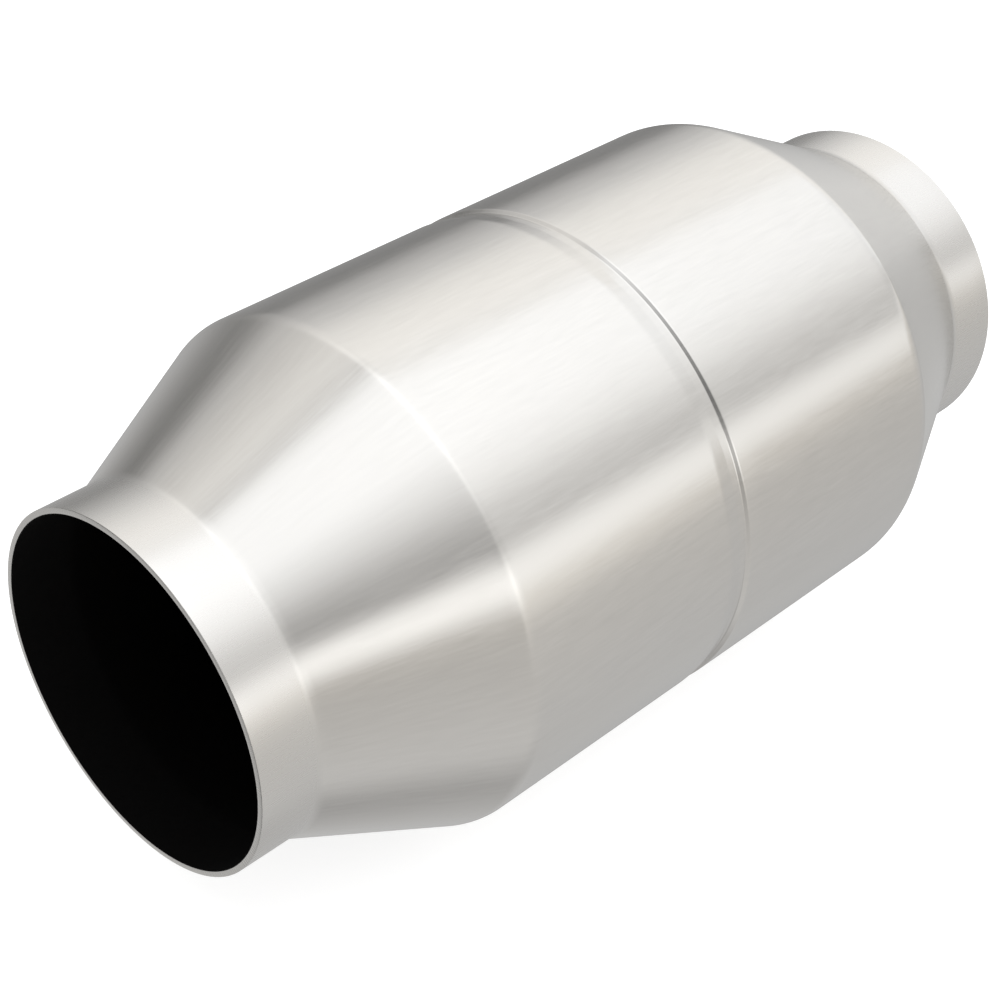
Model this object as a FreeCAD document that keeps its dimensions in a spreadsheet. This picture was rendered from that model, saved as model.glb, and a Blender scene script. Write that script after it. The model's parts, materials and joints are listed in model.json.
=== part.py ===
import FreeCAD, Part
import os
import Sketcher

# Catalytic converter for an exhaust line, in millimetres.
#
# One tube of stainless steel is spun down at both ends, so the casing is a single piece: neck, cone,
# straight body, cone, neck. A bead rolled round the middle of the body marks the space between the two
# ceramic bricks inside. Each brick sits in a fibre mat, and a ring of knitted wire guards each edge of
# each mat from the gas.
#
# The origin is the centre of the inlet mouth. +X runs along the gas flow and +Z is up.

SIZES = {
    # ceramic bricks, which the body of the casing is sized to hold
    "brick_diameter": 105.7,
    "brick_length": 50.8,
    "brick_space": 12.0,
    "brick_setback": 5.2,
    "brick_skin": 1.5,
    "cell_pitch": 9.0,
    "cell_wall": 1.2,
    "least_cell_share": 0.15,
    # mats and their edge seals
    "mat_thickness": 3.5,
    "seal_width": 5.0,
    "joint_tongue": 20.0,
    "joint_gap": 0.4,
    # casing
    "shell_wall": 1.4,
    "neck_bore": 76.2,
    "neck_length": 14.4,
    "cone_length": 37.9,
    "neck_bend": 10.0,
    "shoulder_bend": 8.0,
    # bead rolled into the middle of the body
    "bead_depth": 0.8,
    "bead_front_run": 3.2,
    "bead_rear_run": 1.0,
    "bead_front_bend": 6.0,
    "bead_floor_bend": 1.0,
    "bead_rear_bend": 1.7,
}

NECK_RADIUS = "(sizes.neck_bore / 2 + sizes.shell_wall)"
BRICK_RADIUS = "(sizes.brick_diameter / 2)"
CASING_BORE_RADIUS = "(sizes.brick_diameter / 2 + sizes.mat_thickness)"
BODY_RADIUS = "(sizes.brick_diameter / 2 + sizes.mat_thickness + sizes.shell_wall)"
CONE_END = "(sizes.neck_length + sizes.cone_length)"
BRICK_START = "(sizes.neck_length + sizes.cone_length + sizes.brick_setback)"
OVERALL = "(2 * %s + 2 * sizes.brick_length + sizes.brick_space)" % BRICK_START
BEAD_WIDTH = "(sizes.bead_front_run + sizes.bead_rear_run)"
MAT_LENGTH = "(sizes.brick_length - 2 * sizes.seal_width)"
OUTLET_BRICK_START = BRICK_START + " + sizes.brick_length + sizes.brick_space"
TOOL_MARGIN = 2.0
FULL_TURN = 360.0
HALF_TURN = 180.0

doc = FreeCAD.newDocument("catalytic_converter")


def fill_sheet():
    """Put the driving sizes in the sheet, one row each, under their own aliases."""
    sheet = doc.addObject("Spreadsheet::Sheet", "sizes")
    for row, (alias, number) in enumerate(SIZES.items(), start=1):
        sheet.set("A%d" % row, alias)
        sheet.set("B%d" % row, str(number))
        sheet.setAlias("B%d" % row, alias)
    doc.recompute()
    return sheet


sheet = fill_sheet()


def size(alias):
    """A driving size, read back from the sheet."""
    return float(sheet.get(alias))


def new_body(label):
    """An empty body named for its sub-part."""
    body = doc.addObject("PartDesign::Body", label)
    body.Label = label
    return body


def new_sketch(body, name, role):
    """An empty sketch on one of the body's own origin planes."""
    sketch = body.newObject("Sketcher::SketchObject", name)
    plane = [feature for feature in body.Origin.OriginFeatures if feature.Role == role][0]
    sketch.AttachmentSupport = (plane, [""])
    sketch.MapMode = "FlatFace"
    return sketch


def name_and_bind(sketch, number, name, expression):
    """Give a constraint a name of its own and its value from the sheet."""
    sketch.renameConstraint(number, name)
    sketch.setExpression("Constraints." + name, expression)


def tie_corner(sketch, corner, direction, axis, expression):
    """Hold one coordinate of a corner, on an axis of the sketch or at a distance from its origin."""
    if expression == "0":
        sketch.addConstraint(Sketcher.Constraint("PointOnObject", corner, 1, axis))
        return
    number = sketch.addConstraint(Sketcher.Constraint(direction, -1, 1, corner, 1, float(corner + 1)))
    name_and_bind(sketch, number, "%s_of_corner_%d" % (direction, corner), expression)


def polygon(sketch, corners):
    """A closed outline of straight lines, with every corner's place bound to the sheet."""
    count = len(corners)
    start = [FreeCAD.Vector(corner + 1, corner * corner + 1, 0) for corner in range(count)]
    for corner in range(count):
        sketch.addGeometry(Part.LineSegment(start[corner], start[(corner + 1) % count]), False)
    for corner in range(count):
        sketch.addConstraint(Sketcher.Constraint("Coincident", corner, 2, (corner + 1) % count, 1))
    for corner, (across, up) in enumerate(corners):
        tie_corner(sketch, corner, "DistanceX", -2, across)
        tie_corner(sketch, corner, "DistanceY", -1, up)
    doc.recompute()


def round_corner(sketch, corner, alias):
    """Round a corner of the outline with a tangent arc whose radius comes from the sheet."""
    arc = sketch.GeometryCount
    sketch.fillet(corner, 1, size(alias), True, True)
    number = sketch.addConstraint(Sketcher.Constraint("Radius", arc, size(alias)))
    name_and_bind(sketch, number, "bend_at_corner_%d" % corner, "sizes." + alias)
    doc.recompute()


def turned(body, name, sketch):
    """A sketch turned once round the body's X axis."""
    feature = body.newObject("PartDesign::Revolution", name)
    feature.Profile = sketch
    feature.ReferenceAxis = (sketch, ["H_Axis"])
    feature.Angle = FULL_TURN
    doc.recompute()
    return feature


def make_shell():
    """The spun casing: its outer form turned from one outline, then hollowed to an even wall."""
    body = new_body("converter_shell")
    outline = new_sketch(body, "shell_outline", "XZ_Plane")
    bead_start = "%s / 2 - %s / 2" % (OVERALL, BEAD_WIDTH)
    bead_end = "%s / 2 + %s / 2" % (OVERALL, BEAD_WIDTH)
    polygon(outline, [
        ("0", "0"),
        ("0", NECK_RADIUS),
        ("sizes.neck_length", NECK_RADIUS),
        (CONE_END, BODY_RADIUS),
        (bead_start, BODY_RADIUS),
        (bead_start + " + sizes.bead_front_run", BODY_RADIUS + " - sizes.bead_depth"),
        (bead_end, BODY_RADIUS),
        (OVERALL + " - " + CONE_END, BODY_RADIUS),
        (OVERALL + " - sizes.neck_length", NECK_RADIUS),
        (OVERALL, NECK_RADIUS),
        (OVERALL, "0"),
    ])
    for corner, alias in ((2, "neck_bend"), (3, "shoulder_bend"), (4, "bead_front_bend"),
                          (5, "bead_floor_bend"), (6, "bead_rear_bend"), (7, "shoulder_bend"),
                          (8, "neck_bend")):
        round_corner(outline, corner, alias)
    form = turned(body, "shell_form", outline)

    ends = []
    for number, face in enumerate(form.Shape.Faces, start=1):
        if isinstance(face.Surface, Part.Plane):
            ends.append("Face%d" % number)
    hollow = body.newObject("PartDesign::Thickness", "hollow")
    hollow.Base = (form, ends)
    hollow.Reversed = True
    hollow.setExpression("Value", "sizes.shell_wall")
    doc.recompute()
    return body


def square_cell(across, up, side):
    """The outline of one cell of the bricks, about its centre, in the YZ plane."""
    half = side / 2
    corners = [(-half, -half), (half, -half), (half, half), (-half, half), (-half, -half)]
    return Part.makePolygon([FreeCAD.Vector(0, across + y, up + z) for y, z in corners])


def make_brick_section():
    """The cross-section that both bricks are extruded with: a round skin full of square cells."""
    axis = FreeCAD.Vector(1, 0, 0)
    centre = FreeCAD.Vector(0, 0, 0)
    radius = size("brick_diameter") / 2
    pitch = size("cell_pitch")
    side = pitch - size("cell_wall")
    celled_radius = radius - size("brick_skin")
    celled = Part.Face(Part.Wire(Part.makeCircle(celled_radius, centre, axis)))
    reach = int(celled_radius / pitch) + 1
    cells = []
    for column in range(-reach, reach + 1):
        for row in range(-reach, reach + 1):
            cells.append(Part.Face(square_cell(column * pitch, row * pitch, side)))
    channels = celled.common(Part.makeCompound(cells))
    least_area = size("least_cell_share") * side * side
    openings = [channel.OuterWire for channel in channels.Faces if channel.Area > least_area]
    skin = Part.Wire(Part.makeCircle(radius, centre, axis))
    section = doc.addObject("Part::Feature", "brick_section")
    section.Shape = Part.makeFace([skin] + openings, "Part::FaceMakerBullseye")
    return section


def make_brick(label, section, place):
    """One brick: the celled section extruded along the gas flow."""
    brick = doc.addObject("Part::Extrusion", label)
    brick.Label = label
    brick.Base = section
    brick.DirMode = "Custom"
    brick.Dir = FreeCAD.Vector(1, 0, 0)
    brick.Solid = True
    brick.setExpression("LengthFwd", "sizes.brick_length")
    brick.setExpression("Placement.Base.x", place)
    return brick


def make_mat(label, place, turn):
    """One mat: a strip wrapped once round its brick, its ends joined by a tongue in a slot."""
    body = new_body(label)
    wrap = new_sketch(body, label + "_section", "XZ_Plane")
    polygon(wrap, [
        ("0", BRICK_RADIUS),
        (MAT_LENGTH, BRICK_RADIUS),
        (MAT_LENGTH, CASING_BORE_RADIUS),
        ("0", CASING_BORE_RADIUS),
    ])
    turned(body, label + "_wrap", wrap)

    root_low = "-sizes.joint_tongue / 2 - sizes.joint_gap / 2"
    root_high = "-sizes.joint_tongue / 2 + sizes.joint_gap / 2"
    tip_low = "sizes.joint_tongue / 2 - sizes.joint_gap / 2"
    tip_high = "sizes.joint_tongue / 2 + sizes.joint_gap / 2"
    near_side = MAT_LENGTH + " / 3"
    far_side = MAT_LENGTH + " * 2 / 3"
    before = "-%s" % TOOL_MARGIN
    beyond = "%s + %s" % (MAT_LENGTH, TOOL_MARGIN)
    joint = new_sketch(body, label + "_joint_line", "XY_Plane")
    polygon(joint, [
        (before, root_low),
        (near_side + " + sizes.joint_gap / 2", root_low),
        (near_side + " + sizes.joint_gap / 2", tip_low),
        (far_side + " - sizes.joint_gap / 2", tip_low),
        (far_side + " - sizes.joint_gap / 2", root_low),
        (beyond, root_low),
        (beyond, root_high),
        (far_side + " + sizes.joint_gap / 2", root_high),
        (far_side + " + sizes.joint_gap / 2", tip_high),
        (near_side + " - sizes.joint_gap / 2", tip_high),
        (near_side + " - sizes.joint_gap / 2", root_high),
        (before, root_high),
    ])
    slit = body.newObject("PartDesign::Pocket", label + "_joint")
    slit.Profile = joint
    slit.Reversed = True
    slit.setExpression("Length", BODY_RADIUS)
    body.Placement = FreeCAD.Placement(FreeCAD.Vector(), FreeCAD.Rotation(FreeCAD.Vector(1, 0, 0), turn))
    body.setExpression("Placement.Base.x", place)
    doc.recompute()
    return body


def make_seal(label, place):
    """One edge seal: a plain ring of knitted wire, pressed between the brick and the casing."""
    body = new_body(label)
    section = new_sketch(body, label + "_section", "XZ_Plane")
    polygon(section, [
        ("0", BRICK_RADIUS),
        ("sizes.seal_width", BRICK_RADIUS),
        ("sizes.seal_width", CASING_BORE_RADIUS),
        ("0", CASING_BORE_RADIUS),
    ])
    turned(body, label + "_ring", section)
    body.setExpression("Placement.Base.x", place)
    doc.recompute()
    return body


def make_packed_brick(name, face, turn, section):
    """A brick with its mat and the two seals at the mat's edges."""
    mat_start = face + " + sizes.seal_width"
    mat_end = mat_start + " + " + MAT_LENGTH
    return [
        make_brick(name + "_brick", section, face),
        make_mat(name + "_mat", mat_start, turn),
        make_seal(name + "_front_seal", face),
        make_seal(name + "_rear_seal", mat_end),
    ]


brick_section = make_brick_section()
subparts = [make_shell()]
subparts += make_packed_brick("inlet", BRICK_START, 0.0, brick_section)
subparts += make_packed_brick("outlet", OUTLET_BRICK_START, HALF_TURN, brick_section)
doc.recompute()

for item in doc.Objects:
    if "Invalid" in item.State or "Error" in item.State:
        raise RuntimeError("%s did not build: %s" % (item.Label, item.State))
for subpart in subparts:
    if subpart.Shape.isNull() or not subpart.Shape.isValid():
        raise RuntimeError("%s has no valid shape" % subpart.Label)

os.makedirs("parts", exist_ok=True)
for subpart in subparts:
    subpart.Shape.exportStep("parts/%s.step" % subpart.Label)
    print(subpart.Label, len(subpart.Shape.Solids), round(subpart.Shape.Volume, 1))
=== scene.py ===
import json
import math

import bpy
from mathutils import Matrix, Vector


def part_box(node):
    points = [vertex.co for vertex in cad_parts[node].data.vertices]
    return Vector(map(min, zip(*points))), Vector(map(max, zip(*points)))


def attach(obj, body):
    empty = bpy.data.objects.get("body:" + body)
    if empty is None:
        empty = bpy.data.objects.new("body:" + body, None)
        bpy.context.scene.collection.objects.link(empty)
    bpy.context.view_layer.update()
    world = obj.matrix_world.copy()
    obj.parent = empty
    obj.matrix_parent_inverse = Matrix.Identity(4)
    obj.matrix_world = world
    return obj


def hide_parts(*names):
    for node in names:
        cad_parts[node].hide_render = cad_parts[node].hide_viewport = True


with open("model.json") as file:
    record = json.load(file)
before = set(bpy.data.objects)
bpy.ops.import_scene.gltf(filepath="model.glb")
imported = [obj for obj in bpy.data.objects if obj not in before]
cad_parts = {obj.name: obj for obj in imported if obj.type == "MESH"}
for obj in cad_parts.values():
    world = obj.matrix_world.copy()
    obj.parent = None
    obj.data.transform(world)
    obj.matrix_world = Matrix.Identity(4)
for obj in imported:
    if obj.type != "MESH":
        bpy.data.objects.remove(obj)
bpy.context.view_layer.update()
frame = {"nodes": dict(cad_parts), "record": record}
root = "root"

# The camera looks down at the near, lower end of the converter from its front left, along the line
# that the outlines of both mouths and both cones in the photograph agree on.
CAMERA_PLACE = Vector((-0.1654, -0.2652, 0.2603))
CAMERA_AIM = Vector((0.5786, 0.5774, -0.5760))
CAMERA_LENS = 75.16
CAMERA_SENSOR = 36.0
CAMERA_NEAREST = 0.01

camera_data = bpy.data.cameras.new("camera")
camera_data.sensor_width = CAMERA_SENSOR
camera_data.lens = CAMERA_LENS
camera_data.clip_start = CAMERA_NEAREST
camera = bpy.data.objects.new("camera", camera_data)
camera.location = CAMERA_PLACE
camera.rotation_euler = CAMERA_AIM.to_track_quat("-Z", "Y").to_euler()
bpy.context.scene.collection.objects.link(camera)
bpy.context.scene.camera = camera

# The casing is one tube of stainless steel, spun down at both ends into a cone and a neck, with a bead
# rolled round its middle that runs in slowly and ends in a steep lip. It is satin outside, and inside it
# is painted near-black as painted shade for the dark inside of its mouths. Its mouths are cut square and
# deburred.
NECK_LENGTH = 0.0144
CONE_LENGTH = 0.0379
WALL = 0.0014
NECK_BEND = 0.006
SHOULDER_BEND = 0.008
RIM_ROUND = 0.00015
BEAD_START = 0.1096
BEAD_FLOOR = 0.1130
BEAD_LIP = 0.1150
BEAD_END = 0.11577
BEAD_FLOOR_DEPTH = 0.00050
BEAD_LIP_DEPTH = 0.00062
BEAD_START_BEND = 0.0100
BEAD_FLOOR_BEND = 0.0030
BEAD_LIP_BEND = 0.0004
BEAD_END_BEND = 0.0006
CASING_SEGMENTS = 288
BEND_STEPS = 12
LONGEST_RUN = 0.005
ROUND_X_AXIS = (0.0, -math.pi / 2, 0.0)

bore = {mount["name"]: mount["dims"]["r_mm"] / 1000 for mount in frame["record"]["mounts"]}
casing_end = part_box("converter_shell")[1]
casing_length = casing_end.x
body_radius = casing_end.z
neck_radius = bore["inlet_bore"] + WALL
cone_end = NECK_LENGTH + CONE_LENGTH

outer_line = [
    ((0.0, neck_radius), RIM_ROUND),
    ((NECK_LENGTH, neck_radius), NECK_BEND),
    ((cone_end, body_radius), SHOULDER_BEND),
    ((BEAD_START, body_radius), BEAD_START_BEND),
    ((BEAD_FLOOR, body_radius - BEAD_FLOOR_DEPTH), BEAD_FLOOR_BEND),
    ((BEAD_LIP, body_radius - BEAD_LIP_DEPTH), BEAD_LIP_BEND),
    ((BEAD_END, body_radius), BEAD_END_BEND),
    ((casing_length - cone_end, body_radius), SHOULDER_BEND),
    ((casing_length - NECK_LENGTH, neck_radius), NECK_BEND),
    ((casing_length, neck_radius), RIM_ROUND),
]


def inner_line(outer, wall):
    """The outline one wall further in, with each bend drawn tighter or wider to keep the wall even."""
    inner = []
    for number, ((x, radius), bend) in enumerate(outer):
        if number in (0, len(outer) - 1):
            inner.append(((x, radius - wall), RIM_ROUND))
            continue
        before, after = outer[number - 1][0], outer[number + 1][0]
        slope_in = math.atan2(radius - before[1], x - before[0])
        slope_out = math.atan2(after[1] - radius, after[0] - x)
        lean = (slope_in + slope_out) / 2
        reach = wall / math.cos((slope_out - slope_in) / 2)
        inner_bend = bend + wall if slope_out > slope_in else max(bend - wall, RIM_ROUND)
        inner.append(((x + reach * math.sin(lean), radius - reach * math.cos(lean)), inner_bend))
    return inner


def outline_object(name, outer, inner):
    """The closed outline of the wall as a loop of edges, each corner with its bend and its side."""
    corners = [(corner, 0.0) for corner in outer] + [(corner, 1.0) for corner in reversed(inner)]
    mesh = bpy.data.meshes.new(name)
    places = [(x, 0.0, radius) for ((x, radius), bend), side in corners]
    edges = [(number, (number + 1) % len(places)) for number in range(len(places))]
    mesh.from_pydata(places, edges, [])
    bends = mesh.attributes.new("bend", "FLOAT", "POINT")
    bends.data.foreach_set("value", [bend for (place, bend), side in corners])
    sides = mesh.attributes.new("inside", "FLOAT", "POINT")
    sides.data.foreach_set("value", [side for corner, side in corners])
    return bpy.data.objects.new(name, mesh)


def new_tree(name, inputs):
    """An empty Geometry Nodes tree with named inputs; gives the tree, its inputs and its output node."""
    tree = bpy.data.node_groups.new(name, "GeometryNodeTree")
    for label, kind in inputs:
        tree.interface.new_socket(label, in_out="INPUT", socket_type="NodeSocket" + kind)
    tree.interface.new_socket("Geometry", in_out="OUTPUT", socket_type="NodeSocketGeometry")
    return tree, tree.nodes.new("NodeGroupInput").outputs, tree.nodes.new("NodeGroupOutput")


def add_node(tree, kind, settings=None, values=None):
    """A node of the given kind, with its settings and its unlinked or linked inputs."""
    node = tree.nodes.new(kind)
    for setting, choice in (settings or {}).items():
        setattr(node, setting, choice)
    for socket, value in (values or {}).items():
        if isinstance(value, bpy.types.NodeSocket):
            tree.links.new(value, node.inputs[socket])
        else:
            node.inputs[socket].default_value = value
    return node


def calc(tree, operation, first, second=0.0):
    """The result of one sum on two numbers or sockets."""
    return add_node(tree, "ShaderNodeMath", {"operation": operation}, {0: first, 1: second}).outputs[0]


def place_calc(tree, operation, *places, result="Vector"):
    """The result of one sum on one or two places."""
    node = add_node(tree, "ShaderNodeVectorMath", {"operation": operation}, dict(enumerate(places)))
    return node.outputs[result]


def place_at(tree, x=0.0, y=0.0, z=0.0):
    """A place made from its three coordinates."""
    return add_node(tree, "ShaderNodeCombineXYZ", None, {"X": x, "Y": y, "Z": z}).outputs["Vector"]


def parts_of(tree, place):
    """The three coordinates of a place."""
    return add_node(tree, "ShaderNodeSeparateXYZ", None, {"Vector": place}).outputs


def stored(tree, name):
    """A number that the geometry carries on its points or curves."""
    node = add_node(tree, "GeometryNodeInputNamedAttribute", {"data_type": "FLOAT"}, {"Name": name})
    return node.outputs["Attribute"]


def circle(tree, radius, points):
    """A round curve, flat about the Z axis."""
    return add_node(tree, "GeometryNodeCurvePrimitiveCircle", {"mode": "RADIUS"}, {
        "Resolution": points,
        "Radius": radius,
    }).outputs["Curve"]


def swept(tree, path, section):
    """The surface that a closed section leaves along a path."""
    return add_node(tree, "GeometryNodeCurveToMesh", None, {
        "Curve": path,
        "Profile Curve": section,
    }).outputs["Mesh"]


def finished(tree, geometry, material):
    """The geometry made real and given its material."""
    real = add_node(tree, "GeometryNodeRealizeInstances", None, {"Geometry": geometry})
    return add_node(tree, "GeometryNodeSetMaterial", None, {
        "Geometry": real.outputs["Geometry"],
        "Material": material,
    }).outputs["Geometry"]


def made_mesh(name, tree, values):
    """A plain mesh object made by the tree, with its named inputs set and its modifier taken off."""
    carrier = bpy.data.objects.new(name, bpy.data.meshes.new(name))
    bpy.context.scene.collection.objects.link(carrier)
    modifier = carrier.modifiers.new(name, "NODES")
    modifier.node_group = tree
    for item in tree.interface.items_tree:
        if item.in_out == "INPUT":
            modifier[item.identifier] = values[item.name]
    evaluated = carrier.evaluated_get(bpy.context.evaluated_depsgraph_get())
    mesh = bpy.data.meshes.new_from_object(evaluated)
    mesh.name = name
    # a mesh that comes from curves or joined parts can keep an empty slot before its own material
    if mesh.materials[0] is None:
        mesh.materials.pop(index=0)
    carrier.modifiers.clear()
    carrier.data = mesh
    return carrier


def casing_tree():
    """Rounds the wall's outline at its bends, and turns it once round the X axis."""
    tree, given, out = new_tree("casing_spun", [
        ("Outline", "Object"),
        ("Segments", "Int"),
        ("Bend Steps", "Int"),
        ("Longest Run", "Float"),
        ("Mandrel Radius", "Float"),
        ("Steel", "Material"),
        ("Shade Black", "Material"),
    ])
    outline = add_node(tree, "GeometryNodeObjectInfo", None, {"Object": given["Outline"]})
    line = add_node(tree, "GeometryNodeMeshToCurve", None, {"Mesh": outline.outputs["Geometry"]})
    rounded = add_node(tree, "GeometryNodeFilletCurve", {"mode": "POLY"}, {
        "Curve": line.outputs["Curve"],
        "Radius": stored(tree, "bend"),
        "Count": given["Bend Steps"],
    })

    # long straight runs are divided, so that the shading of a bend ends beside it
    here = add_node(tree, "GeometryNodeInputPosition").outputs["Position"]
    following = add_node(tree, "GeometryNodeOffsetPointInCurve", None, {"Offset": 1})
    there = add_node(tree, "GeometryNodeFieldAtIndex", {"data_type": "FLOAT_VECTOR"}, {
        "Index": following.outputs["Point Index"],
        "Value": here,
    })
    run = place_calc(tree, "DISTANCE", here, there.outputs["Value"], result="Value")
    divided = add_node(tree, "GeometryNodeSubdivideCurve", None, {
        "Curve": rounded.outputs["Curve"],
        "Cuts": calc(tree, "FLOOR", calc(tree, "DIVIDE", run, given["Longest Run"])),
    })

    # the outline is laid flat about the mandrel's ring, which carries it once round the axis
    apart = parts_of(tree, here)
    across = calc(tree, "SUBTRACT", apart["Z"], given["Mandrel Radius"])
    laid = add_node(tree, "GeometryNodeSetPosition", None, {
        "Geometry": divided.outputs["Curve"],
        "Position": place_at(tree, across, apart["X"]),
    })
    mandrel = circle(tree, given["Mandrel Radius"], given["Segments"])
    upright = add_node(tree, "GeometryNodeTransform", None, {
        "Geometry": swept(tree, mandrel, laid.outputs["Geometry"]),
        "Rotation": ROUND_X_AXIS,
    })
    smooth = add_node(tree, "GeometryNodeSetShadeSmooth", None, {"Geometry": upright.outputs["Geometry"]})
    # the inside faces take the near-black material, painted shade for the dark mouths
    inside = add_node(tree, "FunctionNodeCompare", {"data_type": "FLOAT", "operation": "GREATER_THAN"}, {
        0: stored(tree, "inside"),
        1: 0.5,
    })
    lined = add_node(tree, "GeometryNodeSetMaterial", None, {
        "Geometry": finished(tree, smooth.outputs["Geometry"], given["Steel"]),
        "Selection": inside.outputs["Result"],
        "Material": given["Shade Black"],
    })
    tree.links.new(lined.outputs["Geometry"], out.inputs["Geometry"])
    return tree


# The steel's marks lie along the casing, a long set and a fine one. The necks, which the spinning
# worked most, are a little duller and paler, and their marks hardly show.
LONG_MARK_LENGTH = 0.010
LONG_MARK_WIDTH = 0.0016
FINE_MARK_LENGTH = 0.005
FINE_MARK_WIDTH = 0.0004
LONG_MARK_SHARE = 0.6
MARK_DEPTH = 0.000004
CLOUDS_PER_METRE = 45.0
MARKS_TO_ROUGHNESS = (0.3, 0.7)
MARKS_TO_COLOUR = (0.25, 0.75)
STEEL_ROUGHNESS = (0.17, 0.24)
DARK_STEEL = ((0.485, 0.474, 0.452), (0.495, 0.480, 0.460))
LIGHT_STEEL = ((0.535, 0.523, 0.502), (0.525, 0.511, 0.486))
NECK_STEEL = (0.60, 0.588, 0.568)
NECK_STEEL_SHARE = 0.2
NECK_ROUGHNESS = 0.07
NECK_MARK_SHARE = 0.2
NECK_BLEND = 0.002


def new_material(name):
    """A material with nodes; gives the material, its tree and its Principled shader."""
    material = bpy.data.materials.new(name)
    material.use_nodes = True
    tree = material.node_tree
    return material, tree, tree.nodes["Principled BSDF"]


def noise(tree, place, scale, detail=2.0, roughness=0.5):
    """A noise between 0 and 1 at the given place."""
    return add_node(tree, "ShaderNodeTexNoise", None, {
        "Vector": place,
        "Scale": scale,
        "Detail": detail,
        "Roughness": roughness,
    }).outputs[0]


def spread(tree, value, low, high, from_low=0.0, from_high=1.0, kind="LINEAR"):
    """A value carried from one range to another."""
    return add_node(tree, "ShaderNodeMapRange", {"interpolation_type": kind}, {
        "Value": value,
        "From Min": from_low,
        "From Max": from_high,
        "To Min": low,
        "To Max": high,
    }).outputs["Result"]


def blended(tree, share, first, second):
    """A colour between two colours."""
    mix = add_node(tree, "ShaderNodeMix", {"data_type": "RGBA"}, {"Factor": share})
    for socket, colour in ((mix.inputs[6], first), (mix.inputs[7], second)):
        if isinstance(colour, bpy.types.NodeSocket):
            tree.links.new(colour, socket)
        else:
            socket.default_value = (*colour, 1.0)
    return mix.outputs[2]


def finish_with(tree, shader, colour, roughness, height, distance):
    """Gives the shader its colour, its roughness and a height in metres under its normal."""
    bump = add_node(tree, "ShaderNodeBump", None, {"Height": height, "Distance": distance})
    tree.links.new(colour, shader.inputs["Base Color"])
    tree.links.new(roughness, shader.inputs["Roughness"])
    tree.links.new(bump.outputs["Normal"], shader.inputs["Normal"])


spun_steel, steel_tree, steel_shader = new_material("satin_steel")
steel_place = add_node(steel_tree, "ShaderNodeTexCoord").outputs["Object"]
steel_parts = parts_of(steel_tree, steel_place)
ring_place = place_at(steel_tree, 0.0, steel_parts["Y"], steel_parts["Z"])
ring_parts = parts_of(steel_tree, place_calc(steel_tree, "NORMALIZE", ring_place))


def steel_grain(length, width):
    """A place in which one unit is a grain mark, long along the casing and narrow round it."""
    return place_at(
        steel_tree,
        calc(steel_tree, "DIVIDE", steel_parts["X"], length),
        calc(steel_tree, "MULTIPLY", ring_parts["Y"], body_radius / width),
        calc(steel_tree, "MULTIPLY", ring_parts["Z"], body_radius / width))


long_grain = steel_grain(LONG_MARK_LENGTH, LONG_MARK_WIDTH)
long_marks = noise(steel_tree, long_grain, 1.0, detail=3.0, roughness=0.6)
fine_marks = noise(steel_tree, steel_grain(FINE_MARK_LENGTH, FINE_MARK_WIDTH), 1.0)
clouds = noise(steel_tree, steel_place, CLOUDS_PER_METRE)
from_middle = calc(steel_tree, "ABSOLUTE", calc(steel_tree, "SUBTRACT", steel_parts["X"], casing_length / 2))
neck_start = casing_length / 2 - NECK_LENGTH
on_neck = spread(
    steel_tree, from_middle, 0.0, 1.0, neck_start - NECK_BLEND, neck_start + NECK_BLEND, "SMOOTHSTEP")
marks = calc(
    steel_tree, "ADD",
    calc(steel_tree, "MULTIPLY", long_marks, LONG_MARK_SHARE),
    calc(steel_tree, "MULTIPLY", fine_marks, 1.0 - LONG_MARK_SHARE))
mark_contrast = calc(
    steel_tree, "MULTIPLY",
    calc(steel_tree, "SUBTRACT", marks, 0.5),
    spread(steel_tree, on_neck, 1.0, NECK_MARK_SHARE))
marks = calc(steel_tree, "ADD", mark_contrast, 0.5)
steel_roughness = calc(
    steel_tree, "ADD",
    spread(steel_tree, marks, *STEEL_ROUGHNESS, *MARKS_TO_ROUGHNESS),
    calc(steel_tree, "MULTIPLY", on_neck, NECK_ROUGHNESS))
steel_colour = blended(
    steel_tree, spread(steel_tree, marks, 0.0, 1.0, *MARKS_TO_COLOUR),
    blended(steel_tree, clouds, *DARK_STEEL),
    blended(steel_tree, clouds, *LIGHT_STEEL))
steel_colour = blended(
    steel_tree, calc(steel_tree, "MULTIPLY", on_neck, NECK_STEEL_SHARE), steel_colour, NECK_STEEL)
finish_with(steel_tree, steel_shader, steel_colour, steel_roughness, marks, MARK_DEPTH)
steel_shader.inputs["Metallic"].default_value = 1.0

# Inside, the casing is painted near-black with a fine dull scale, as painted shade for the dark mouths.
LINING_SCALE = 700.0
LINING_DEPTH = 0.00003
LINING_GLOSS = 0.05
LINING_ROUGHNESS = (0.85, 1.0)
INSIDE_SHADE_BLACKS = ((0.0015, 0.0015, 0.0015), (0.004, 0.0038, 0.0036))

painted_shade_inside, lining_tree, lining_shader = new_material("painted_shade_inside")
lining_place = add_node(lining_tree, "ShaderNodeTexCoord").outputs["Object"]
scale_marks = noise(lining_tree, lining_place, LINING_SCALE, detail=3.0, roughness=0.6)
inside_shade_colour = blended(lining_tree, scale_marks, *INSIDE_SHADE_BLACKS)
lining_roughness = spread(lining_tree, scale_marks, *LINING_ROUGHNESS)
finish_with(lining_tree, lining_shader, inside_shade_colour, lining_roughness, scale_marks, LINING_DEPTH)
lining_shader.inputs["Specular IOR Level"].default_value = LINING_GLOSS

casing = made_mesh("spun_casing", casing_tree(), {
    "Outline": outline_object("casing_outline", outer_line, inner_line(outer_line, WALL)),
    "Segments": CASING_SEGMENTS,
    "Bend Steps": BEND_STEPS,
    "Longest Run": LONGEST_RUN,
    "Mandrel Radius": neck_radius,
    "Steel": spun_steel,
    "Shade Black": painted_shade_inside,
})
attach(casing, root)
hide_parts("converter_shell")

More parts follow.
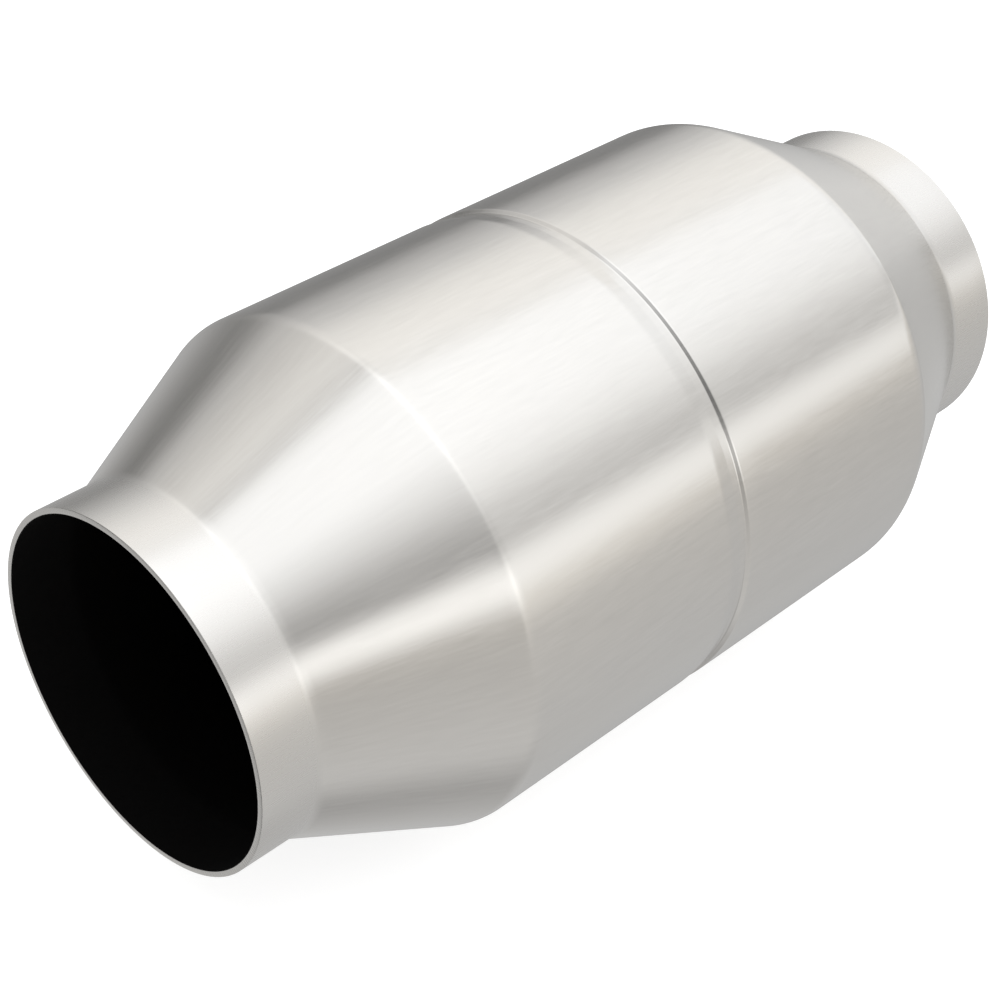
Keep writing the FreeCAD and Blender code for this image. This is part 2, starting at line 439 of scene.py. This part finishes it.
# Each brick is a cordierite honeycomb of square channels inside a plain skin, extruded in one piece,
# fired and washcoated. The mat grips it, and the channels run straight through from face to face.
CELL_PITCH = 0.00127
CELL_WALL = 0.00017
JOIN_DISTANCE = CELL_WALL / 20
BRICK_SKIN = 0.0010
SKIN_OVERLAP = 0.0002
SKIN_SEGMENTS = 256
LEAST_CORNER_DEPTH = 0.0002
COAT_COLOURS = ((0.42, 0.345, 0.25), (0.53, 0.455, 0.35))
DARK_CELL = (0.33, 0.27, 0.20)
DARK_CELL_SHARE = 0.35
COAT_CRUST = (0.66, 0.59, 0.48)
COAT_CRUST_SHARE = 0.3
COAT_ROUGHNESS = (0.85, 1.0)
COAT_CLOUDS_PER_METRE = 60.0
COAT_GRAINS_PER_METRE = 9000.0
COAT_DEPTH = 0.00002


def channel_object(name, pitch, wall, length):
    """One channel of the honeycomb, with its share of the walls' end faces at both ends."""
    outer = pitch / 2
    inner = (pitch - wall) / 2
    places = []
    for x, reach in ((0.0, outer), (0.0, inner), (length, inner), (length, outer)):
        for y, z in ((-reach, -reach), (reach, -reach), (reach, reach), (-reach, reach)):
            places.append((x, y, z))
    faces = []
    for ring in range(3):
        for side in range(4):
            turn = (side + 1) % 4
            faces.append((4 * ring + side, 4 * ring + 4 + side, 4 * ring + 4 + turn, 4 * ring + turn))
    mesh = bpy.data.meshes.new(name)
    mesh.from_pydata(places, [], faces)
    return bpy.data.objects.new(name, mesh)


def rectangular_ring(tree, radius, points, depth, length, middle):
    """A ring round the X axis with a rectangular section, its middle at a place along the axis."""
    section = add_node(tree, "GeometryNodeCurvePrimitiveQuadrilateral", {"mode": "RECTANGLE"}, {
        "Width": depth,
        "Height": length,
    })
    return add_node(tree, "GeometryNodeTransform", None, {
        "Geometry": swept(tree, circle(tree, radius, points), section.outputs["Curve"]),
        "Rotation": ROUND_X_AXIS,
        "Translation": place_at(tree, middle),
    }).outputs["Geometry"]


def joined(tree, *pieces):
    """Several geometries as one."""
    whole = add_node(tree, "GeometryNodeJoinGeometry")
    for piece in pieces:
        tree.links.new(piece, whole.inputs["Geometry"])
    return whole.outputs["Geometry"]


def brick_tree():
    """Fills a round face with channels, draws the rim channels in to the skin, and adds the skin."""
    tree, given, out = new_tree("brick_honeycomb", [
        ("Channel", "Object"),
        ("Pitch", "Float"),
        ("Brick Radius", "Float"),
        ("Skin", "Float"),
        ("Brick Length", "Float"),
        ("Brick Face", "Float"),
        ("Skin Segments", "Int"),
        ("Ceramic", "Material"),
    ])
    celled = calc(tree, "SUBTRACT", given["Brick Radius"], given["Skin"])
    reach = calc(tree, "CEIL", calc(tree, "DIVIDE", celled, given["Pitch"]))
    steps = calc(tree, "MULTIPLY", reach, 2.0)
    count = calc(tree, "ADD", steps, 1.0)
    span = calc(tree, "MULTIPLY", steps, given["Pitch"])
    centres = add_node(tree, "GeometryNodeMeshGrid", None, {
        "Size X": span,
        "Size Y": span,
        "Vertices X": count,
        "Vertices Y": count,
    })
    here = add_node(tree, "GeometryNodeInputPosition").outputs["Position"]
    apart = parts_of(tree, here)
    face = add_node(tree, "GeometryNodeSetPosition", None, {
        "Geometry": centres.outputs["Mesh"],
        "Position": place_at(tree, 0.0, apart["X"], apart["Y"]),
    })

    # a channel is kept where its innermost corner lies inside the skin
    half = calc(tree, "DIVIDE", given["Pitch"], 2.0)
    innermost = place_calc(
        tree, "SUBTRACT", place_calc(tree, "ABSOLUTE", here), place_at(tree, 0.0, half, half))
    depth = place_calc(tree, "LENGTH", innermost, result="Value")
    limit = calc(tree, "SUBTRACT", celled, LEAST_CORNER_DEPTH)
    kept = add_node(tree, "GeometryNodeDeleteGeometry", {"domain": "POINT"}, {
        "Geometry": face.outputs["Geometry"],
        "Selection": calc(tree, "GREATER_THAN", depth, limit),
    })
    channel = add_node(tree, "GeometryNodeObjectInfo", None, {"Object": given["Channel"]})
    placed = add_node(tree, "GeometryNodeInstanceOnPoints", None, {
        "Points": kept.outputs["Geometry"],
        "Instance": channel.outputs["Geometry"],
    })
    cells = add_node(tree, "GeometryNodeRealizeInstances", None, {"Geometry": placed.outputs["Instances"]})
    merged = add_node(tree, "GeometryNodeMergeByDistance", None, {
        "Geometry": cells.outputs["Geometry"],
        "Distance": JOIN_DISTANCE,
    })

    # corners past the skin's inner wall are drawn in to it
    radius = place_calc(tree, "LENGTH", place_at(tree, 0.0, apart["Y"], apart["Z"]), result="Value")
    shrink = calc(tree, "MINIMUM", calc(tree, "DIVIDE", celled, radius), 1.0)
    fitted = add_node(tree, "GeometryNodeSetPosition", None, {
        "Geometry": merged.outputs["Geometry"],
        "Position": place_calc(tree, "MULTIPLY", here, place_at(tree, 1.0, shrink, shrink)),
    })

    # the open rim of the front face is carried back to the rear one, which closes the side
    neighbours = add_node(tree, "GeometryNodeInputMeshEdgeNeighbors")
    rim = add_node(tree, "FunctionNodeCompare", {"data_type": "INT", "operation": "EQUAL"}, {
        2: neighbours.outputs["Face Count"],
        3: 1,
    })
    half_length = calc(tree, "DIVIDE", given["Brick Length"], 2.0)
    front_rim = add_node(tree, "FunctionNodeBooleanMath", {"operation": "AND"}, {
        0: rim.outputs["Result"],
        1: calc(tree, "LESS_THAN", apart["X"], half_length),
    })
    side_wall = add_node(tree, "GeometryNodeExtrudeMesh", {"mode": "EDGES"}, {
        "Mesh": fitted.outputs["Geometry"],
        "Selection": front_rim.outputs["Boolean"],
        "Offset": place_at(tree, given["Brick Length"]),
        "Offset Scale": 1.0,
    })
    closed = add_node(tree, "GeometryNodeMergeByDistance", None, {
        "Geometry": side_wall.outputs["Mesh"],
        "Distance": JOIN_DISTANCE,
    })

    middle_radius = calc(tree, "SUBTRACT", given["Brick Radius"], calc(tree, "DIVIDE", given["Skin"], 2.0))
    skin = rectangular_ring(
        tree, calc(tree, "SUBTRACT", middle_radius, SKIN_OVERLAP / 2), given["Skin Segments"],
        calc(tree, "ADD", given["Skin"], SKIN_OVERLAP), given["Brick Length"], half_length)
    moved = add_node(tree, "GeometryNodeTransform", None, {
        "Geometry": joined(tree, closed.outputs["Geometry"], skin),
        "Translation": place_at(tree, given["Brick Face"]),
    })
    flat = add_node(tree, "GeometryNodeSetShadeSmooth", None, {
        "Geometry": moved.outputs["Geometry"],
        "Shade Smooth": False,
    })
    coated = finished(tree, flat.outputs["Geometry"], given["Ceramic"])
    tree.links.new(coated, out.inputs["Geometry"])
    return tree


ceramic, ceramic_tree, ceramic_shader = new_material("washcoated_ceramic")
ceramic_place = add_node(ceramic_tree, "ShaderNodeTexCoord").outputs["Object"]
in_cells = place_calc(ceramic_tree, "DIVIDE", ceramic_place, (1.0, CELL_PITCH, CELL_PITCH))
cell = place_calc(ceramic_tree, "FLOOR", place_calc(ceramic_tree, "ADD", in_cells, (0.0, 0.5, 0.5)))
each_cell = add_node(ceramic_tree, "ShaderNodeTexWhiteNoise", {"noise_dimensions": "3D"}, {"Vector": cell})
coat_clouds = noise(ceramic_tree, ceramic_place, COAT_CLOUDS_PER_METRE, detail=3.0, roughness=0.6)
coat_grain = noise(ceramic_tree, ceramic_place, COAT_GRAINS_PER_METRE, roughness=0.6)
coat = blended(ceramic_tree, coat_clouds, *COAT_COLOURS)
coat = blended(
    ceramic_tree, spread(ceramic_tree, each_cell.outputs["Value"], 0.0, DARK_CELL_SHARE), coat, DARK_CELL)
coat = blended(ceramic_tree, spread(ceramic_tree, coat_grain, 0.0, COAT_CRUST_SHARE), coat, COAT_CRUST)
coat_roughness = spread(ceramic_tree, coat_grain, *COAT_ROUGHNESS)
finish_with(ceramic_tree, ceramic_shader, coat, coat_roughness, coat_grain, COAT_DEPTH)

honeycomb = brick_tree()
for end in ("inlet", "outlet"):
    brick_low, brick_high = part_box(end + "_brick")
    brick_length = brick_high.x - brick_low.x
    brick = made_mesh(end + "_honeycomb", honeycomb, {
        "Channel": channel_object(end + "_channel", CELL_PITCH, CELL_WALL, brick_length),
        "Pitch": CELL_PITCH,
        "Brick Radius": brick_high.z,
        "Skin": BRICK_SKIN,
        "Brick Length": brick_length,
        "Brick Face": brick_low.x,
        "Skin Segments": SKIN_SEGMENTS,
        "Ceramic": ceramic,
    })
    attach(brick, root)
    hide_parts(end + "_brick")

# A ring of knitted stainless wire guards each edge of each mat from the gas. It is knitted as a sleeve,
# laid round the brick and pressed to the width of the gap as the casing is closed on it.
WIRE_RADIUS = 0.00012
SEAL_LOOPS = 120
SEAL_ROWS = 11
POINTS_PER_LOOP = 8
WIRE_SIDES = 4
LOOP_SWING = 0.55
LOOP_OVERLAP = 0.95
CORE_MARGIN = 0.0004
SQUARENESS = 0.5
WIRE_COLOURS = ((0.46, 0.44, 0.41), (0.34, 0.28, 0.21))
WIRE_ROUGHNESS = (0.28, 0.5)
WIRE_TINTS_PER_METRE = 90.0
WIRE_MARKS_PER_METRE = 5000.0
WIRE_MARK_DEPTH = 0.00001


def seal_tree():
    """Rows of loops laid round the ring's section, over a dark core."""
    tree, given, out = new_tree("seal_knitted", [
        ("Start", "Float"),
        ("Width", "Float"),
        ("Inner Radius", "Float"),
        ("Outer Radius", "Float"),
        ("Wire Radius", "Float"),
        ("Loops", "Int"),
        ("Rows", "Int"),
        ("Wire", "Material"),
    ])
    both_radii = calc(tree, "ADD", given["Inner Radius"], given["Outer Radius"])
    middle_radius = calc(tree, "MULTIPLY", both_radii, 0.5)
    half_width = calc(tree, "MULTIPLY", given["Width"], 0.5)
    middle_place = calc(tree, "ADD", given["Start"], half_width)
    thickness = calc(tree, "SUBTRACT", given["Outer Radius"], given["Inner Radius"])

    points = calc(tree, "MULTIPLY", given["Loops"], float(POINTS_PER_LOOP))
    rows = add_node(tree, "GeometryNodeDuplicateElements", {"domain": "SPLINE"}, {
        "Geometry": circle(tree, middle_radius, points),
        "Amount": given["Rows"],
    })
    row = add_node(tree, "GeometryNodeStoreNamedAttribute", {"data_type": "FLOAT", "domain": "CURVE"}, {
        "Geometry": rows.outputs["Geometry"],
        "Name": "row",
        "Value": rows.outputs["Duplicate Index"],
    })

    # a loop swings the wire across its row and back, and leans it along the row
    along = add_node(tree, "GeometryNodeSplineParameter").outputs["Factor"]
    round_ring = calc(tree, "MULTIPLY", along, math.tau)
    loop = calc(tree, "MULTIPLY", round_ring, given["Loops"])
    twice = calc(tree, "MULTIPLY", loop, 2.0)
    loop_share = calc(tree, "DIVIDE", LOOP_SWING, given["Loops"])
    lean = calc(tree, "MULTIPLY", calc(tree, "SINE", twice), loop_share)
    turn = calc(tree, "ADD", round_ring, lean)
    step = calc(tree, "DIVIDE", math.tau, given["Rows"])
    swing = calc(tree, "MULTIPLY", calc(tree, "COSINE", loop), calc(tree, "MULTIPLY", step, LOOP_OVERLAP))
    section_turn = calc(tree, "ADD", calc(tree, "MULTIPLY", stored(tree, "row"), step), swing)
    over = calc(tree, "MULTIPLY", calc(tree, "COSINE", twice), given["Wire Radius"])

    def squared(turned, half):
        """One coordinate round the section, drawn out towards a rectangle."""
        power = calc(tree, "POWER", calc(tree, "ABSOLUTE", turned), SQUARENESS)
        reach = calc(tree, "SUBTRACT", half, calc(tree, "MULTIPLY", given["Wire Radius"], 2.0))
        signed = calc(tree, "MULTIPLY", calc(tree, "SIGN", turned), power)
        return calc(tree, "MULTIPLY", signed, calc(tree, "ADD", reach, over))

    across = squared(calc(tree, "COSINE", section_turn), half_width)
    outward = squared(calc(tree, "SINE", section_turn), calc(tree, "MULTIPLY", thickness, 0.5))
    radius = calc(tree, "ADD", middle_radius, outward)
    wire_place = place_at(
        tree,
        calc(tree, "ADD", middle_place, across),
        calc(tree, "MULTIPLY", radius, calc(tree, "SINE", turn)),
        calc(tree, "MULTIPLY", radius, calc(tree, "COSINE", turn)))
    laid = add_node(tree, "GeometryNodeSetPosition", None, {
        "Geometry": row.outputs["Geometry"],
        "Position": wire_place,
    })
    wires = swept(tree, laid.outputs["Geometry"], circle(tree, given["Wire Radius"], WIRE_SIDES))
    wires_smooth = add_node(tree, "GeometryNodeSetShadeSmooth", None, {"Geometry": wires})
    core = rectangular_ring(
        tree, middle_radius, SKIN_SEGMENTS,
        calc(tree, "SUBTRACT", thickness, 2 * CORE_MARGIN),
        calc(tree, "SUBTRACT", given["Width"], 2 * CORE_MARGIN), middle_place)
    knitted = finished(tree, joined(tree, wires_smooth.outputs["Geometry"], core), given["Wire"])
    tree.links.new(knitted, out.inputs["Geometry"])
    return tree


wire_metal, wire_tree, wire_shader = new_material("knitted_wire_metal")
wire_place = add_node(wire_tree, "ShaderNodeTexCoord").outputs["Object"]
wire_tint = noise(wire_tree, wire_place, WIRE_TINTS_PER_METRE)
wire_marks = noise(wire_tree, wire_place, WIRE_MARKS_PER_METRE, roughness=0.6)
wire_colour = blended(wire_tree, wire_tint, *WIRE_COLOURS)
wire_roughness = spread(wire_tree, wire_marks, *WIRE_ROUGHNESS)
finish_with(wire_tree, wire_shader, wire_colour, wire_roughness, wire_marks, WIRE_MARK_DEPTH)
wire_shader.inputs["Metallic"].default_value = 1.0

knit = seal_tree()
for end in ("inlet", "outlet"):
    for edge in ("front", "rear"):
        seal_low, seal_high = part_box("%s_%s_seal" % (end, edge))
        seal = made_mesh("%s_%s_knit" % (end, edge), knit, {
            "Start": seal_low.x,
            "Width": seal_high.x - seal_low.x,
            "Inner Radius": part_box(end + "_brick")[1].z,
            "Outer Radius": seal_high.z,
            "Wire Radius": WIRE_RADIUS,
            "Loops": SEAL_LOOPS,
            "Rows": SEAL_ROWS,
            "Wire": wire_metal,
        })
        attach(seal, root)
        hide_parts("%s_%s_seal" % (end, edge))

# Each mat is a strip of ceramic fibre felt wrapped once round its brick, its tongue in its slot. It
# holds the brick by pressure and seals the gap behind the wire rings.
FIBRES_PER_METRE = 2600.0
FIBRE_STRETCH = (1.0, 0.35, 0.35)
FIBRE_DEPTH = 0.00015
FIBRE_COLOUR = (0.86, 0.83, 0.76)
FIBRE_SHARE = 0.6
FIBRES_TO_COLOUR = (0.35, 0.65)
FELT_LUMPS_PER_METRE = 130.0
FELT_COLOURS = ((0.62, 0.56, 0.45), (0.74, 0.70, 0.60))
FELT_ROUGHNESS = (0.85, 1.0)

mat_felt, felt_tree, felt_shader = new_material("ceramic_fibre_felt")
felt_place = add_node(felt_tree, "ShaderNodeTexCoord").outputs["Object"]
felt_lie = add_node(felt_tree, "ShaderNodeMapping", None, {"Vector": felt_place, "Scale": FIBRE_STRETCH})
fibres = noise(felt_tree, felt_lie.outputs["Vector"], FIBRES_PER_METRE, detail=4.0, roughness=0.7)
lumps = noise(felt_tree, felt_place, FELT_LUMPS_PER_METRE)
felt = blended(felt_tree, lumps, *FELT_COLOURS)
fibre_share = spread(felt_tree, fibres, 0.0, FIBRE_SHARE, *FIBRES_TO_COLOUR)
felt = blended(felt_tree, fibre_share, felt, FIBRE_COLOUR)
felt_roughness = spread(felt_tree, fibres, *FELT_ROUGHNESS)
finish_with(felt_tree, felt_shader, felt, felt_roughness, fibres, FIBRE_DEPTH)
for end in ("inlet", "outlet"):
    mat = frame["nodes"][end + "_mat"]
    mat.data.materials.clear()
    mat.data.materials.append(mat_felt)

# The converter lies on a plain white light table, whose faint glow from below softens its shadow.
FLOOR_REACH = 6.0
FLOOR_PAINT = 0.50
FLOOR_ROUGHNESS = 0.9
FLOOR_GLOW = 0.74

floor_mesh = bpy.data.meshes.new("floor")
floor_corners = [(-FLOOR_REACH, -FLOOR_REACH), (FLOOR_REACH, -FLOOR_REACH),
                 (FLOOR_REACH, FLOOR_REACH), (-FLOOR_REACH, FLOOR_REACH)]
floor_mesh.from_pydata([(x, y, -body_radius) for x, y in floor_corners], [], [(0, 1, 2, 3)])
floor = bpy.data.objects.new("floor", floor_mesh)
bpy.context.scene.collection.objects.link(floor)
floor_paint, floor_tree, floor_shader = new_material("floor_paint")
floor_shader.inputs["Base Color"].default_value = (FLOOR_PAINT, FLOOR_PAINT, FLOOR_PAINT, 1.0)
floor_shader.inputs["Roughness"].default_value = FLOOR_ROUGHNESS
floor_shader.inputs["Emission Color"].default_value = (1.0, 1.0, 1.0, 1.0)
floor_shader.inputs["Emission Strength"].default_value = FLOOR_GLOW
floor_mesh.materials.append(floor_paint)
floor.visible_glossy = False

# The studio is a tent of soft panels that run the length of the converter: a broad one overhead, a
# narrow one at the near side with a dim gap above it, a far side that falls off to the dark, and pale
# walls low down. Along the tent, four rows of each panel's light run from inlet to outlet.
PANELS = (
    # degrees round the axis, from straight up to the near side; light in the four rows; warmth
    (-180, 0.65, 0.75, 0.70, 0.70, 0.0),  # straight below
    (-135, 0.90, 0.40, 0.40, 0.90, 0.0),  # far wall, low
    (-110, 0.85, 0.32, 0.28, 1.00, 0.0),  # far side, its dark middle
    (-88, 0.45, 0.30, 0.30, 1.00, 0.0),
    (-80, 0.30, 0.62, 0.68, 1.10, 0.0),  # far side, its soft upper edge
    (-72, 0.42, 0.80, 0.82, 1.15, 0.0),
    (-60, 0.92, 1.05, 1.08, 1.25, 0.0),
    (-50, 1.05, 1.40, 1.40, 1.40, 0.5),  # far slope of the roof
    (-30, 1.40, 1.70, 1.60, 1.60, 0.5),
    (-18, 1.15, 1.60, 1.60, 1.60, 0.0),  # seam of the roof
    (-12, 1.95, 2.00, 1.84, 1.60, -1.0),  # broad panel overhead
    (22, 2.00, 2.00, 1.80, 1.60, -1.0),
    (40, 1.45, 1.75, 1.54, 1.40, -0.5),  # its near edge, fading
    (54, 0.85, 1.20, 1.14, 1.05, 0.0),
    (67, 0.60, 0.95, 0.93, 1.00, 0.0),  # dim gap
    (75, 2.00, 1.75, 1.62, 1.30, 0.0),  # narrow panel at the near side
    (82, 2.10, 1.90, 1.70, 1.30, 0.0),
    (92, 0.85, 1.40, 0.98, 1.10, 2.0),  # its warm lower edge
    (104, 0.85, 0.95, 0.85, 0.95, 1.0),
    (148, 0.98, 0.86, 0.83, 0.78, 0.0),  # near wall, low
    (168, 0.60, 0.80, 0.74, 0.72, 0.0),  # shade beside the table
    (180, 0.65, 0.75, 0.70, 0.70, 0.0),  # straight below again
)
ROW_PLACES = (0.10, 0.56, 0.72, 0.94)
WARM_RED = 0.015
WARM_BLUE = 0.025
GAP_STARTS = (-0.86, -0.72)
GAP_ENDS = (-0.58, -0.42)
GAP_LIGHT = 0.20
WALL_LIGHT = 0.75
STRIP_PLACE = 0.24
STRIP_FADE = (0.02, 0.16)
STRIP_ROLL = math.radians(30)
STRIP_ROLL_FADE = (math.radians(60), math.radians(90))
STRIP_LIGHT = 1.18
BACKDROP = (1.0, 1.0, 1.0)

world = bpy.data.worlds.new("studio")
bpy.context.scene.world = world
world.use_nodes = True
studio = world.node_tree
sight = parts_of(studio, add_node(studio, "ShaderNodeTexCoord").outputs["Generated"])
near_side = calc(studio, "MULTIPLY", sight["Y"], -1.0)
roll = calc(studio, "ARCTAN2", near_side, sight["Z"])
roll_share = calc(studio, "ADD", calc(studio, "DIVIDE", roll, math.tau), 0.5)


def panel_row(number):
    """The light of one row of panels, read round the axis."""
    row = add_node(studio, "ShaderNodeValToRGB", None, {"Fac": roll_share})
    stops = row.color_ramp.elements
    while len(stops) < len(PANELS):
        stops.new(0.5)
    for stop, (degrees, *lights, warmth) in zip(stops, PANELS):
        light = lights[number]
        stop.position = degrees / 360 + 0.5
        stop.color = (light * (1 + WARM_RED * warmth), light, light * (1 - WARM_BLUE * warmth), 1.0)
    return row.outputs["Color"]


tent = panel_row(0)
for number in range(1, len(ROW_PLACES)):
    share = spread(studio, sight["X"], 0.0, 1.0, ROW_PLACES[number - 1], ROW_PLACES[number])
    tent = blended(studio, share, tent, panel_row(number))

# behind the camera a dim gap parts the tent from the room, whose grey wall lights the inlet's cone
gap = calc(
    studio, "MULTIPLY",
    spread(studio, sight["X"], 0.0, 1.0, *GAP_STARTS, "SMOOTHSTEP"),
    spread(studio, sight["X"], 1.0, 0.0, *GAP_ENDS, "SMOOTHSTEP"))
room = spread(studio, sight["X"], WALL_LIGHT, 1.0, *GAP_STARTS)

# a brighter strip across the roof draws the light line along the inlet's shoulder
from_strip = calc(studio, "ABSOLUTE", calc(studio, "SUBTRACT", sight["X"], STRIP_PLACE))
from_overhead = calc(studio, "ABSOLUTE", calc(studio, "SUBTRACT", roll, STRIP_ROLL))
strip = calc(
    studio, "MULTIPLY",
    spread(studio, from_strip, 1.0, 0.0, *STRIP_FADE, "SMOOTHSTEP"),
    spread(studio, from_overhead, 1.0, 0.0, *STRIP_ROLL_FADE))
dimming = calc(studio, "MULTIPLY", spread(studio, gap, 1.0, GAP_LIGHT), room)
lit = add_node(studio, "ShaderNodeVectorMath", {"operation": "SCALE"}, {
    0: tent,
    "Scale": calc(studio, "MULTIPLY", dimming, spread(studio, strip, 1.0, STRIP_LIGHT)),
})
light_path = add_node(studio, "ShaderNodeLightPath")
seen = blended(studio, light_path.outputs["Is Camera Ray"], lit.outputs["Vector"], BACKDROP)
studio.links.new(seen, studio.nodes["Background"].inputs["Color"])
bpy.context.scene.view_settings.view_transform = "Standard"
